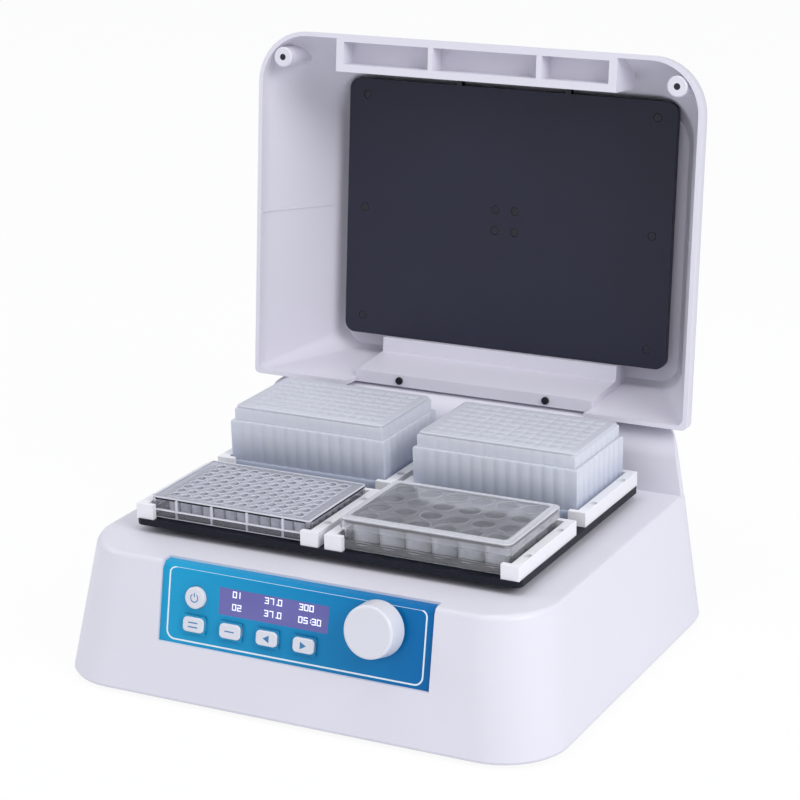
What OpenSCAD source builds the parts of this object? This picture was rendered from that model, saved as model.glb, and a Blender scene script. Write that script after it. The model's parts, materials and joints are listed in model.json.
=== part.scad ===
// Microplate shaker incubator for four plates, lid shown open. Millimetres.
// X to the right, Y to the rear, Z up. Z = 0 is the floor under the rubber feet.

/* [Base] */
// half width of the base at the foot
base_half = 186; // [182:0.5:192]
// half width of the base at the deck
deck_half = 172.7; // [170:0.5:175]
// height of the deck above the floor
deck_z = 97; // [94:0.5:100]
// front edge of the base at the foot, measured from the plate field centre
base_front = -160; // [-168:0.5:-156]
// front edge of the deck
deck_front = -142; // [-144:0.5:-139]
// face of the rear hinge tower
tower_face = 120; // [118:0.5:122]
// rear wall of the base
base_rear = 153; // [151:0.5:158]
// front corner radius of the base
corner_r = 45; // [38:1:50]
// wall thickness of the base casing
wall = 3.2; // [2.8:0.1:3.6]

/* [Lid] */
// half width of the lid at its rim
lid_half = 176; // [174:0.5:178]
// depth of the lid from rim to outer top
lid_h = 83.5; // [82:0.5:90]
// opening angle of the lid in the modelled position
lid_open = 95.25; // [92:0.25:100]
// height of the hinge axis above the deck
hinge_up = 26.2; // [25.5:0.1:27]
// distance from the hinge axis to the outermost rear wall of the tower
hinge_in = 12; // [12:0.25:14]
// wall thickness of the lid shell
lid_wall = 3.2; // [2.8:0.1:3.6]

/* [Plate field] */
// footprint length of a microplate
plate_l = 127.76; // [127.5:0.02:128]
// footprint width of a microplate
plate_w = 85.48; // [85.2:0.02:85.7]
// side clearance of a plate between its rails
plate_gap = 0.3; // [0.2:0.05:0.4]
// width of one rail
rail_w = 7.2; // [6.5:0.1:8]
// height of a rail above the tray
rail_h = 10.5; // [9:0.5:12]
// gap between the two middle rails
rail_gap = 5.2; // [4:0.2:6.5]
// gap between the front and the rear plate row
row_gap = 15.5; // [13:0.5:18]
// thickness of the shaker tray
tray_t = 8; // [7.5:0.5:8.5]
// shaking radius
orbit = 1.5; // [1:0.25:2]

/* [Panel] */
// width of the blue control panel
panel_w = 205; // [196:1:210]
// height of the blue control panel
panel_h = 54; // [52:0.5:56]
// diameter of the selector knob
knob_d = 38; // [34:1:40]
// height of the selector knob
knob_h = 17; // [14:0.5:20]

/* [Fits] */
// radial running clearance of pins and shafts
run = 0.05; // [0.03:0.01:0.08]
// clearance around the keys
key_gap = 0.35; // [0.3:0.05:0.5]

/* [Hidden] */
$fn = 48;
eps = 0.01;
foot_h = 3;
draft_f = atan((deck_front - base_front) / (deck_z - foot_h));
tray_z = deck_z + 2;
seat_z = tray_z + tray_t;
hinge_y = base_rear - hinge_in;
hinge_z = deck_z + hinge_up;
tower_r = hinge_y - tower_face;
tower_top = hinge_z + tower_r;
rim_z = deck_z + 0.5;
lid_top = rim_z + lid_h;
lid_front = deck_front - 1;
lid_rear = tower_face - 0.6;
lid_r = 40;
heat_z = rim_z + 65.4;
heat_t = 6;
heat_x = 133;
heat_f = -104.6;
heat_b = 92.5;
pocket_l = plate_l + 2 * plate_gap;
rail_l = plate_w + 9;
x_in = rail_gap / 2;
x_out = rail_gap / 2 + 2 * rail_w + pocket_l;
y_row = row_gap / 2 + rail_l / 2;
tray_hx = x_out + 1;
tray_f = -(row_gap / 2 + rail_l + 1);
tray_b = row_gap / 2 + rail_l + 1;
tray_edge = 4.5;
pad_t = 1.2;
plate_z = seat_z + pad_t;
deep_h = 45.7;
mat_t = 2.4;
// the whole part is centred front to back on its outline with the lid open
y_mid = 27.3;
pan_x = 2;
pan_z = deck_z - 28.5;
pan_y = base_front + (deck_front - base_front) * (pan_z - foot_h) / (deck_z - foot_h);
pan_in = 2.6;
key_x = [-75, -46.6, -18.5, 9.5];
key_v = -11.5;
knob_u = 64;
knob_v = 9.5;
drive_z = 58;
drive_t = 5;
idler_x = 112;
idler_y = 72;
arm_x = 132.5;
arm_w = 14;
pin_r = 4;
ink = [0.83, 0.82, 0.87];
steel = [0.72, 0.73, 0.75];
black = [0.16, 0.16, 0.2];

// the common frame of every piece
module frame() {
  translate([0, -y_mid, 0]) children();
}

// carries lid pieces, drawn closed, to the open position
module lid_place() {
  frame()
    translate([0, hinge_y, hinge_z])
      rotate([-lid_open, 0, 0])
        translate([0, -hinge_y, -hinge_z]) children();
}

// local frame of the sloped front panel: X right, Y up the slope, Z outwards
module on_panel() {
  frame()
    translate([pan_x, pan_y, pan_z])
      rotate([90 - draft_f, 0, 0]) children();
}

// side outline of the recess floor: up the slope, round the edge, back along the deck
lip_y = deck_front + 10;
function slope_y(z) = base_front + (deck_front - base_front) * (z - foot_h) / (deck_z - foot_h);
function floor_line(t) = [
  [slope_y(pan_z - 26.5) + (pan_in - t) / cos(draft_f), pan_z - 26.5],
  [slope_y(deck_z - 6) + (pan_in - t) / cos(draft_f), deck_z - 6],
  [deck_front + 1.3 + 0.9 * (pan_in - t), deck_z - 2.2 - 0.7 * (pan_in - t)],
  [deck_front + 3.6 + 0.4 * (pan_in - t), deck_z - 0.3 - (pan_in - t)],
  [lip_y, deck_z - (pan_in - t)]
];
function flip(v) = [for (i = [len(v) - 1 : -1 : 0]) v[i]];

module across(w) {
  frame() translate([pan_x - w / 2, 0, 0]) rotate([90, 0, 90]) linear_extrude(height = w) children();
}

// sheet lying on the recess floor
module panel_band(t0, t1, gap) {
  across(panel_w - 2 * gap) polygon(concat(floor_line(t0), flip(floor_line(t1))));
}

// everything above the recess floor
module panel_room() {
  across(panel_w) polygon(concat(floor_line(0), [
    [lip_y, deck_z + 30], [-200, deck_z + 30], [-200, pan_z - 26.5]
  ]));
}

// thin rounded slab used as one layer of the drafted shells
module slab(hx, yf, yb, z, rf, rb) {
  for (s = [-1, 1]) {
    translate([s * (hx - rf), yf + rf, z]) cylinder(h = eps, r = rf, $fn = 40);
    translate([s * (hx - rb), yb - rb, z]) cylinder(h = eps, r = rb, $fn = 32);
  }
}

module rounded_plate(hx, yf, yb, z, h, r) {
  hull() {
    for (x = [-hx + r, hx - r], y = [yf + r, yb - r])
      translate([x, y, z]) cylinder(h = h, r = r, $fn = 32);
  }
}

// screw with a cylindrical head, head seat at z = 0, shank down
module screw(d, hd, hh, l) {
  cylinder(h = hh, d = hd, $fn = 24);
  translate([0, 0, -l]) cylinder(h = l + eps, d = d, $fn = 20);
}

module base_outer() {
  hull() {
    slab(base_half - 1, base_front + 1, base_rear - 1, foot_h, corner_r, 34);
    slab(base_half, base_front, base_rear, foot_h + 2, corner_r, 35);
    slab(deck_half + 0.6, deck_front - 0.8, base_rear, deck_z - 4, corner_r, 35);
    slab(deck_half - 0.8, deck_front + 1, base_rear, deck_z - 1, corner_r, 35);
    slab(deck_half - 3, deck_front + 3.4, base_rear, deck_z - eps, corner_r - 2, 35);
  }
}

module tower_outer() {
  // barrel around the hinge axis on a straight foot
  intersection() {
    hull() {
      slab(deck_half + 0.5, 20, base_rear, deck_z - 6, 2, 35);
      slab(deck_half - 5, 20, base_rear, hinge_z, 2, 35);
      slab(deck_half - 6.5, 20, base_rear, hinge_z + 9, 2, 34);
      slab(deck_half - 9, 20, base_rear, hinge_z + 16, 2, 33);
      slab(deck_half - 13, 20, base_rear - 2, tower_top, 2, 32);
    }
    translate([-200, 0, 0]) rotate([90, 0, 90]) linear_extrude(height = 400) polygon(concat(
      [[base_rear, deck_z - 6], [tower_face, deck_z - 6]],
      [for (i = [0:20]) let (a = 180 - i * (180 - acos((base_rear - hinge_y) / tower_r)) / 20)
        [hinge_y + tower_r * cos(a), hinge_z + tower_r * sin(a)]]
    ));
  }
}

module base_inner() {
  hull() {
    slab(base_half - wall, base_front + wall, base_rear - wall, foot_h - 1, corner_r - wall, 35 - wall);
    slab(deck_half - wall, deck_front + wall, base_rear - wall, deck_z - wall - eps,
      corner_r - wall, 35 - wall);
  }
}

module casing() {
  color(ink) difference() {
    union() {
      difference() {
        frame() base_outer();
        frame() base_inner();
      }
      frame() difference() {
        tower_outer();
        translate([-145, tower_face + wall, deck_z - 30])
          cube([290, base_rear - tower_face - 2 * wall, 30 + hinge_up + 8]);
      }
      // pocket wall behind the recessed panel
      intersection() {
        frame() base_outer();
        on_panel() translate([-panel_w / 2 - 4, -panel_h / 2 - 4, -pan_in - wall])
          cube([panel_w + 8, panel_h + 20, wall + 2]);
      }
      intersection() {
        frame() base_outer();
        frame() translate([pan_x - panel_w / 2 - 3, deck_front + 3, deck_z - pan_in - wall + 0.4])
          cube([panel_w + 6, 14, pan_in + wall]);
      }
      // hinge cheeks inside the tower
      frame() for (s = [-1, 1])
        translate([s * arm_x - arm_w / 2 - 9, tower_face + wall - 1, deck_z - wall])
          cube([arm_w + 18, base_rear - tower_face - 2 * wall + 2, hinge_up + wall + 9]);
      // bosses for the bottom screws
      frame() for (x = [-160, 160], y = [-118, 122])
        translate([x, y, foot_h + 2]) cylinder(h = deck_z - wall - foot_h - 1.9, d = 10);
    }
    // panel recess, running over the front edge onto the deck
    panel_room();
    // windows for keys, display and knob
    on_panel() {
      translate([-57.5, -1.5, -20]) cube([83, 18.5, 30]);
      translate([key_x[0], 7, -20]) cylinder(h = 30, d = 15 + 2 * key_gap);
      for (x = key_x) translate([x - 8 - key_gap, key_v - 5.75 - key_gap, -20])
        cube([16 + 2 * key_gap, 11.5 + 2 * key_gap, 30]);
      translate([knob_u, knob_v, -20]) cylinder(h = 30, d = 7.2 + 2 * run);
    }
    frame() {
      // passages of the shaking drive
      translate([0, 0, deck_z - 10]) cylinder(h = 20, d = 62);
      for (x = [-idler_x, idler_x], y = [-idler_y, idler_y])
        translate([x, y, deck_z - 10]) cylinder(h = 20, d = 20);
      // slots for the hinge arms, open to the top and the rear
      for (s = [-1, 1]) translate([s * arm_x - arm_w / 2 - 1, hinge_y, hinge_z]) {
        translate([0, -6.8, -13]) cube([arm_w + 2, 40, 40]);
        rotate([0, 90, 0]) cylinder(h = arm_w + 2, r = 9.2);
      }
      for (s = [-1, 1])
        translate([s * arm_x - 16, hinge_y, hinge_z]) rotate([0, 90, 0])
          cylinder(h = 32, r = pin_r, $fn = 40);
      // inlet and rocker openings in the rear wall
      translate([-130, base_rear - 10, 22]) cube([32, 20, 27]);
      translate([-92, base_rear - 10, 22]) cube([22, 20, 27]);
      // vents in the rear wall
      for (i = [0:9]) translate([20 + 9 * i, base_rear - 10, 30]) cube([3.2, 20, 32]);
      // screw pilots
      for (x = [-160, 160], y = [-118, 122]) translate([x, y, foot_h]) cylinder(h = 16, d = 3, $fn = 24);
    }
  }
}

module bottom_plate() {
  hx = base_half - wall - 1.5;
  yf = base_front + wall + 1.5;
  yb = base_rear - wall - 1.2;
  color(steel) frame() difference() {
    translate([0, 0, foot_h + 0.4]) linear_extrude(height = 1.6) union() {
      translate([-hx + 40, yf]) square([2 * hx - 80, yb - yf]);
      translate([-hx, yf + 40]) square([2 * hx, yb - yf - 72]);
      for (x = [-hx + 40, hx - 40]) translate([x, yf + 40]) circle(r = 40);
      for (x = [-hx + 32, hx - 32]) translate([x, yb - 32]) circle(r = 32);
      translate([-hx + 32, yb - 40]) square([2 * hx - 64, 40]);
    }
    for (x = [-160, 160], y = [-118, 122]) translate([x, y, 0]) cylinder(h = 9, d = 3.4, $fn = 24);
    for (x = [-136, 136], y = [-120, 112]) translate([x, y, 0]) cylinder(h = 9, d = 3.4, $fn = 24);
    for (i = [0:7]) translate([-70 + 20 * i, 60, 0]) cube([6, 60, 9]);
  }
}

module feet() {
  color(black) frame() for (x = [-136, 136], y = [-120, 112]) translate([x, y, 0]) difference() {
    union() {
      cylinder(h = 1.2, r1 = 9, r2 = 9.6);
      translate([0, 0, 1.2 - eps]) cylinder(h = foot_h + 0.4 - 1.2 + eps, r = 9.6);
    }
    translate([0, 0, -1]) cylinder(h = 2.8, d = 8);
    cylinder(h = 9, d = 3.3, $fn = 24);
  }
}

module base_screws() {
  color(steel) frame() {
    for (x = [-136, 136], y = [-120, 112])
      translate([x, y, 1.8]) rotate([180, 0, 0]) screw(3.1, 6, 1.2, 7);
    for (x = [-160, 160], y = [-118, 122])
      translate([x, y, foot_h + 0.4]) rotate([180, 0, 0]) screw(3.0, 6, 1.6, 12);
  }
}

module panel_sheet() {
  color([0.1, 0.55, 0.78]) difference() {
    panel_band(0, 0.8, 0.3);
    on_panel() {
      translate([key_x[0], 7, -9]) cylinder(h = 30, d = 15 + 2 * key_gap);
      for (x = key_x) translate([x - 8 - key_gap, key_v - 5.75 - key_gap, -9])
        cube([16 + 2 * key_gap, 11.5 + 2 * key_gap, 30]);
      translate([-57.5, -1.5, -9]) cube([83, 18.5, 30]);
      translate([knob_u, knob_v, -9]) cylinder(h = 30, d = 7.2 + 2 * run);
    }
  }
}

module display_window() {
  color([0.3, 0.3, 0.62]) on_panel() translate([-57.5, -1.5, -pan_in - 0.6]) cube([83, 18.5, 1.3]);
}

module display_module() {
  color([0.2, 0.25, 0.25]) on_panel() {
    translate([-61, -4.2, -pan_in - wall - 6]) cube([90, 25.2, 5.8]);
    translate([-56.5, -0.7, -pan_in - wall - 0.4]) cube([81, 17, wall - 0.2]);
  }
}

module control_board() {
  color([0.1, 0.35, 0.2]) on_panel() difference() {
    translate([-90, -24, -pan_in - wall - 7.8]) cube([180, 48, 1.6]);
    translate([knob_u, knob_v, -30]) cylinder(h = 40, d = 3, $fn = 24);
  }
}

module key_switches() {
  color([0.2, 0.2, 0.22]) on_panel() {
    for (x = key_x) translate([x, key_v, -pan_in - wall - 6.2]) {
      translate([-3, -3, 0]) cube([6, 6, 2.8]);
      cylinder(h = 3.35, d = 3.4, $fn = 24);
    }
    translate([key_x[0] + 0, 7, -pan_in - wall - 6.2]) {
      translate([-3, -3, 0]) cube([6, 6, 2.8]);
      cylinder(h = 3.35, d = 3.4, $fn = 24);
    }
  }
}

module key_cap(w, h) {
  // cap through the window with a wider flange that stays behind the wall
  translate([-w / 2, -h / 2, -pan_in - wall - 0.4]) cube([w, h, wall + 1.8]);
  translate([-w / 2 - 1, -h / 2 - 1, -pan_in - wall - 1.25]) cube([w + 2, h + 2, 1.2]);
  translate([0, 0, -pan_in - wall - 2.2]) cylinder(h = 1, d = 3.2, $fn = 24);
}

module key_round() {
  color([0.95, 0.95, 0.97]) on_panel() translate([key_x[0], 7, 0]) {
    translate([0, 0, -pan_in - wall - 0.4]) cylinder(h = wall + 1.8, d = 15);
    translate([0, 0, -pan_in - wall - 1.25]) cylinder(h = 1.2, d = 16.4);
    translate([0, 0, -pan_in - wall - 2.2]) cylinder(h = 1, d = 3.2, $fn = 24);
  }
}
module key_menu() { color([0.95, 0.95, 0.97]) on_panel() translate([key_x[0], key_v, 0]) key_cap(16, 11.5); }
module key_set() { color([0.95, 0.95, 0.97]) on_panel() translate([key_x[1], key_v, 0]) key_cap(16, 11.5); }
module key_left() { color([0.95, 0.95, 0.97]) on_panel() translate([key_x[2], key_v, 0]) key_cap(16, 11.5); }
module key_right() { color([0.95, 0.95, 0.97]) on_panel() translate([key_x[3], key_v, 0]) key_cap(16, 11.5); }

module encoder_body() {
  color(steel) on_panel() translate([knob_u, knob_v, 0]) difference() {
    union() {
      translate([-6, -6, -pan_in - wall - 6.2]) cube([12, 12, 6]);
      translate([0, 0, -pan_in - wall - 0.3]) cylinder(h = wall + 0.3 + 2.4, d = 7.2);
    }
    translate([0, 0, -pan_in - wall - 5]) cylinder(h = 30, d = 6 + 2 * run);
  }
}

module encoder_shaft() {
  color(steel) on_panel() translate([knob_u, knob_v, 0])
    translate([0, 0, -pan_in - wall - 4]) cylinder(h = wall + 15, d = 6);
}

module knob() {
  color([0.96, 0.96, 0.97]) on_panel() translate([knob_u, knob_v, 1.4]) difference() {
    union() {
      cylinder(h = 2, r1 = knob_d / 2, r2 = knob_d / 2);
      translate([0, 0, 2 - eps]) cylinder(h = knob_h - 4, r1 = knob_d / 2, r2 = knob_d / 2 - 1.2);
      translate([0, 0, knob_h - 2 - eps]) cylinder(h = 1.2, r1 = knob_d / 2 - 1.2, r2 = knob_d / 2 - 2.6);
    }
    translate([0, 0, -1]) cylinder(h = 5, d = 30);
    cylinder(h = 9.6, d = 6 + 2 * run);
  }
}

// shaking drive
module drive_plate() {
  color(steel) frame() difference() {
    translate([-140, -96, drive_z]) cube([280, 192, drive_t]);
    translate([0, 0, drive_z - 1]) cylinder(h = drive_t + 2, d = 24);
    for (x = [-idler_x, idler_x], y = [-idler_y, idler_y])
      translate([x, y, drive_z - 1]) cylinder(h = drive_t + 2, d = 22);
    for (x = [-128, 128], y = [-86, 86]) translate([x, y, drive_z - 1])
      cylinder(h = drive_t + 2, d = 4.3, $fn = 24);
    for (x = [-22, 22], y = [-22, 22]) translate([x, y, drive_z - 1])
      cylinder(h = drive_t + 2, d = 4.3, $fn = 24);
  }
}

module standoffs() {
  color([0.8, 0.7, 0.4]) frame() for (x = [-128, 128], y = [-86, 86])
    translate([x, y, foot_h + 2]) {
      cylinder(h = drive_z - foot_h - 2, d = 9);
      translate([0, 0, drive_z - foot_h - 2 - eps]) cylinder(h = drive_t + 2.4, d = 4.2, $fn = 24);
      translate([0, 0, drive_z - foot_h - 2 + drive_t]) cylinder(h = 3, d = 8);
    }
}

module motor() {
  color([0.3, 0.3, 0.33]) frame() difference() {
    union() {
    translate([-30, -30, drive_z - 6]) cube([60, 60, 6]);
    translate([0, 0, drive_z - 46]) cylinder(h = 40.1, d = 56);
    translate([0, 0, drive_z - 0.1]) cylinder(h = 4, d = 23.8);
    }
    translate([0, 0, drive_z - 21]) cylinder(h = 40, d = 8 + 2 * run);
    for (x = [-22, 22], y = [-22, 22]) translate([x, y, drive_z - 7]) cylinder(h = 12, d = 4.24, $fn = 24);
  }
}

module motor_screws() {
  color(steel) frame() for (x = [-22, 22], y = [-22, 22])
    translate([x, y, drive_z + drive_t]) screw(4.2, 7, 3, 9);
}

module idler_bearings() {
  color(steel) frame() for (x = [-idler_x, idler_x], y = [-idler_y, idler_y])
    translate([x, y, drive_z - 4]) difference() {
    union() {
      cylinder(h = 14, d = 21.9);
      translate([0, 0, 4 + drive_t]) cylinder(h = 2, d = 27);
    }
    translate([0, 0, -1]) cylinder(h = 18, d = 8 + 2 * run);
  }
}

module crank_hub() {
  color([0.62, 0.64, 0.68]) frame() {
    translate([0, 0, drive_z + drive_t + 4]) cylinder(h = 13, d = 26);
    translate([0, 0, drive_z - 20]) cylinder(h = 29, d = 8);
    translate([orbit, 0, drive_z + drive_t + 17 - eps])
      cylinder(h = tray_z + 5.6 - drive_z - drive_t - 17, d = 8);
    // counterweight opposite the crank pin
    difference() {
      translate([0, 0, drive_z + drive_t + 6]) cylinder(h = 8, d = 56);
      translate([-4, -40, drive_z]) cube([60, 80, 40]);
    }
  }
}

module crank_bearing() {
  color(steel) frame() translate([orbit, 0, tray_z]) difference() {
    cylinder(h = 5.9, d = 22);
    translate([0, 0, -1]) cylinder(h = 11, d = 8 + 2 * run);
  }
}

module idler(x, y) {
  color([0.62, 0.64, 0.68]) frame() translate([x, y, 0]) {
    translate([0, 0, drive_z - 8]) cylinder(h = 20, d = 8);
    translate([0, 0, drive_z + drive_t + 5.3]) cylinder(h = 7, d = 20);
    translate([orbit, 0, drive_z + drive_t + 12]) cylinder(h = tray_z + 5.6 - drive_z - drive_t - 12, d = 7);
  }
}
module idler_fl() { idler(-idler_x, -idler_y); }
module idler_fr() { idler(idler_x, -idler_y); }
module idler_rl() { idler(-idler_x, idler_y); }
module idler_rr() { idler(idler_x, idler_y); }

module tray() {
  // drawn at the crank's position, so its bores sit one orbit radius to the right
  color([0.1, 0.1, 0.12]) frame() difference() {
    union() {
      rounded_plate(tray_hx, tray_f, tray_b, seat_z - tray_edge, tray_edge, 6);
      rounded_plate(tray_hx - 16, tray_f + 16, tray_b - 16, tray_z, tray_t - tray_edge + eps, 6);
    }
    translate([orbit, 0, tray_z - 1]) cylinder(h = 7, d = 22 + 2 * run);
    for (x = [-idler_x, idler_x], y = [-idler_y, idler_y])
      translate([x + orbit, y, tray_z - 1]) cylinder(h = 7, d = 7 + 2 * run);
    for (x = [-rx_out, -rx_in, rx_in, rx_out], sy = [-1, 1], m = [-1, 1])
      translate([x, sy * y_row + m * 26, seat_z - 5.5]) cylinder(h = 8, d = 3.04, $fn = 24);
  }
}

module heater_mat() {
  color([0.75, 0.45, 0.2]) frame() difference() {
    translate([-96, -86, tray_z - 0.6]) cube([192, 172, 0.6]);
    translate([orbit, 0, tray_z - 2]) cylinder(h = 4, d = 26);
  }
}

module tray_pads() {
  color(black) frame() for (sx = [-1, 1], sy = [-1, 1])
    translate([sx * (x_in + rail_w + pocket_l / 2), sy * y_row, seat_z])
      translate([-pocket_l / 2 + 4, -plate_w / 2 + 4, 0]) cube([pocket_l - 8, plate_w - 8, pad_t]);
}

// rail with a hook around the plate corner at both ends, s = +1 plate to its right
module rail(xc, yc, s) {
  color([0.93, 0.93, 0.95]) frame() translate([xc, yc, seat_z]) difference() {
    union() {
      translate([-rail_w / 2, -rail_l / 2, 0]) cube([rail_w, rail_l, rail_h]);
      for (m = [-1, 1]) translate([0, m * (rail_l / 2 - 2.1), rail_h / 2])
        translate([s > 0 ? -rail_w / 2 : -rail_w / 2 - 6, -2.1, -rail_h / 2]) cube([rail_w + 6, 4.2, rail_h]);
    }
    for (m = [-1, 1]) translate([0, m * 26, 3]) cylinder(h = 20, d = 6, $fn = 24);
    for (m = [-1, 1]) translate([0, m * 26, -1]) cylinder(h = 20, d = 3.2, $fn = 24);
  }
}
rx_out = x_out - rail_w / 2;
rx_in = x_in + rail_w / 2;
module rail_fl_left() { rail(-rx_out, -y_row, 1); }
module rail_fl_right() { rail(-rx_in, -y_row, -1); }
module rail_fr_left() { rail(rx_in, -y_row, 1); }
module rail_fr_right() { rail(rx_out, -y_row, -1); }
module rail_rl_left() { rail(-rx_out, y_row, 1); }
module rail_rl_right() { rail(-rx_in, y_row, -1); }
module rail_rr_left() { rail(rx_in, y_row, 1); }
module rail_rr_right() { rail(rx_out, y_row, -1); }

module rail_screws() {
  color(steel) frame() for (x = [-rx_out, -rx_in, rx_in, rx_out], sy = [-1, 1], m = [-1, 1])
    translate([x, sy * y_row + m * 26, seat_z + 3]) screw(3.0, 5.5, 3, 8);
}

px = x_in + rail_w + pocket_l / 2;
module plate_skirt(h, t) {
  difference() {
    translate([-plate_l / 2, -plate_w / 2, 0]) cube([plate_l, plate_w, h]);
    translate([-plate_l / 2 + t, -plate_w / 2 + t, -1]) cube([plate_l - 2 * t, plate_w - 2 * t, h + 2]);
  }
}

module plate_96() {
  color([0.78, 0.8, 0.84]) frame() translate([-px, -y_row, plate_z]) difference() {
    union() {
      translate([-plate_l / 2, -plate_w / 2, 0]) cube([plate_l, plate_w, 6]);
      translate([-plate_l / 2 + 1.6, -plate_w / 2 + 1.6, 6 - eps]) cube([plate_l - 3.2, plate_w - 3.2, 8.35]);
    }
    for (i = [0:11], j = [0:7])
      translate([-49.5 + 9 * i, -31.5 + 9 * j, 3.5]) cylinder(h = 20, d = 6.8, $fn = 16);
    translate([-plate_l / 2 + 1.4, -plate_w / 2 + 1.4, -1]) cube([plate_l - 2.8, plate_w - 2.8, 3]);
  }
}

module plate_24() {
  color([0.82, 0.84, 0.88]) frame() translate([px, -y_row, plate_z]) difference() {
    union() {
      translate([-plate_l / 2, -plate_w / 2, 0]) cube([plate_l, plate_w, 6]);
      translate([-plate_l / 2 + 3, -plate_w / 2 + 3, 6 - eps]) cube([plate_l - 6, plate_w - 6, 13.5]);
    }
    for (i = [0:5], j = [0:3])
      translate([-48.25 + 19.3 * i, -28.95 + 19.3 * j, 2.5]) cylinder(h = 20, d = 16.2, $fn = 28);
  }
}

module plate_24_lid() {
  color([0.88, 0.9, 0.94]) frame() translate([px, -y_row, plate_z + 13]) difference() {
    union() {
      translate([-plate_l / 2 + 1, -plate_w / 2 + 1, 0]) cube([plate_l - 2, plate_w - 2, 8]);
      translate([-plate_l / 2 + 4, -plate_w / 2 + 4, 8 - eps]) cube([plate_l - 8, plate_w - 8, 1]);
    }
    translate([-plate_l / 2 + 2.6, -plate_w / 2 + 2.6, -1]) cube([plate_l - 5.2, plate_w - 5.2, 1 + 6.49]);
  }
}

module deep(xc) {
  color([0.8, 0.85, 0.92]) frame() translate([xc, y_row, plate_z]) difference() {
    union() {
      translate([-plate_l / 2, -plate_w / 2, 0]) cube([plate_l, plate_w, 7]);
      translate([-plate_l / 2 + 1.2, -plate_w / 2 + 1.2, 7 - eps])
        cube([plate_l - 2.4, plate_w - 2.4, deep_h - 7 - 9]);
      translate([-plate_l / 2 + 3.6, -plate_w / 2 + 3.6, deep_h - 9 - 2 * eps])
        cube([plate_l - 7.2, plate_w - 7.2, 9]);
    }
    for (i = [0:11], j = [0:7])
      translate([-49.5 + 9 * i - 4.1, -31.5 + 9 * j - 4.1, 4]) cube([8.2, 8.2, 60]);
  }
}
module deep_left() { deep(-px); }
module deep_right() { deep(px); }

module mat(xc) {
  color([0.9, 0.92, 0.96]) frame() translate([xc, y_row, plate_z + deep_h - 2 * eps]) {
    translate([-plate_l / 2 + 4.2, -plate_w / 2 + 4.2, 0]) cube([plate_l - 8.4, plate_w - 8.4, mat_t]);
    for (i = [0:11], j = [0:7])
      translate([-49.5 + 9 * i - 3.8, -31.5 + 9 * j - 3.8, -3]) cube([7.6, 7.6, 3.2]);
  }
}
module mat_left() { mat(-px); }
module mat_right() { mat(px); }

// lid, drawn closed
lid_tx = lid_half - 33;
lid_tf = lid_front + 39;
lid_tb = lid_rear - 8;
seat_up = 22.4;
module lid_outer() {
  hull() {
    slab(lid_half, lid_front, lid_rear, rim_z, lid_r, 4);
    slab(lid_half - 1, lid_front + 1, lid_rear, rim_z + 12, lid_r, 4);
    slab(lid_tx + 4, lid_tf - 5, lid_tb + 2, lid_top - 5, 34, 18);
    slab(lid_tx, lid_tf, lid_tb - 2, lid_top - 0.8, 30, 16);
    slab(lid_tx - 4, lid_tf + 4, lid_tb - 6, lid_top - eps, 28, 14);
  }
}
module lid_inner() {
  w = lid_wall;
  hull() {
    slab(lid_half - w, lid_front + w, lid_rear - w, rim_z - 1, lid_r - w, 5);
    slab(lid_half - w - 1, lid_front + w + 1, lid_rear - w, rim_z + 11, lid_r - w, 5);
    slab(lid_tx + 3 - w, lid_tf - 4 + w, lid_tb - w, lid_top - 5 - w, 30, 16);
    slab(lid_tx - 2 - w, lid_tf + 2 + w, lid_tb - 4 - w, lid_top - w, 28, 14);
  }
}
module lid_shell() {
  color(ink) lid_place() difference() {
    union() {
      difference() {
        union() {
          lid_outer();
          // bosses that the hinge arms are fixed to
          for (s = [-1, 1]) translate([s * arm_x - arm_w / 2 - 4, lid_rear - 12, hinge_z + seat_up])
            cube([arm_w + 8, 12, 27]);
        }
        lid_inner();
      }
      // box with three pockets behind the front wall
      intersection() {
        lid_outer();
        translate([-111, lid_front + 1, rim_z]) cube([222, 26.5, 34]);
      }
      // housing over the middle of the rear wall, with a step under the heater plate
      intersection() {
        lid_outer();
        union() {
          translate([-97, 0, 0]) rotate([90, 0, 90]) linear_extrude(height = 194) polygon([
            [lid_rear + 1, rim_z + 18], [lid_rear - 9, rim_z + 18], [lid_rear - 15.6, rim_z + 61],
            [lid_rear - 15.6, rim_z + 76], [lid_rear + 1, rim_z + 76]
          ]);
          translate([-97, heat_b + 0.3, rim_z + 60.5]) cube([194, lid_rear - 7.3 - heat_b, 20]);
        }
      }
      // corner bosses
      intersection() {
        lid_outer();
        for (s = [-1, 1]) translate([s * (lid_half - 20), lid_front + 20, rim_z + 2])
          cylinder(h = 60, r = 7.5);
      }
      // posts of the heater plate
      for (x = [-118, 0, 118], y = [heat_f + 12, (heat_f + heat_b) / 2, heat_b - 14])
        translate([x, y, heat_z + heat_t + 6]) cylinder(h = lid_top - heat_z - heat_t - 7.4, d = 9);
    }
    // pockets, open at the rim
    for (p = [[-105, -36], [-32, 49.5], [53.5, 105]])
      translate([p[0], lid_front + 5.5, rim_z - 1]) cube([p[1] - p[0], 16.5, 16]);
    // the rear wall is cut back below the housing
    translate([-97, lid_rear - 9, rim_z - 1]) cube([194, 12, 19.2]);
    for (s = [-1, 1]) translate([s * (lid_half - 20), lid_front + 20, rim_z - 1])
      cylinder(h = 16, d = 3.06, $fn = 24);
    for (x = [-118, 118], y = [heat_f + 12, (heat_f + heat_b) / 2, heat_b - 14])
      translate([x, y, heat_z + heat_t - 0.2]) cylinder(h = 10, d = 3.16, $fn = 24);
    for (x = [-60, 60]) translate([x, lid_rear - 4.6, rim_z + 14]) cylinder(h = 16, d = 3.06, $fn = 24);
  }
}

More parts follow.
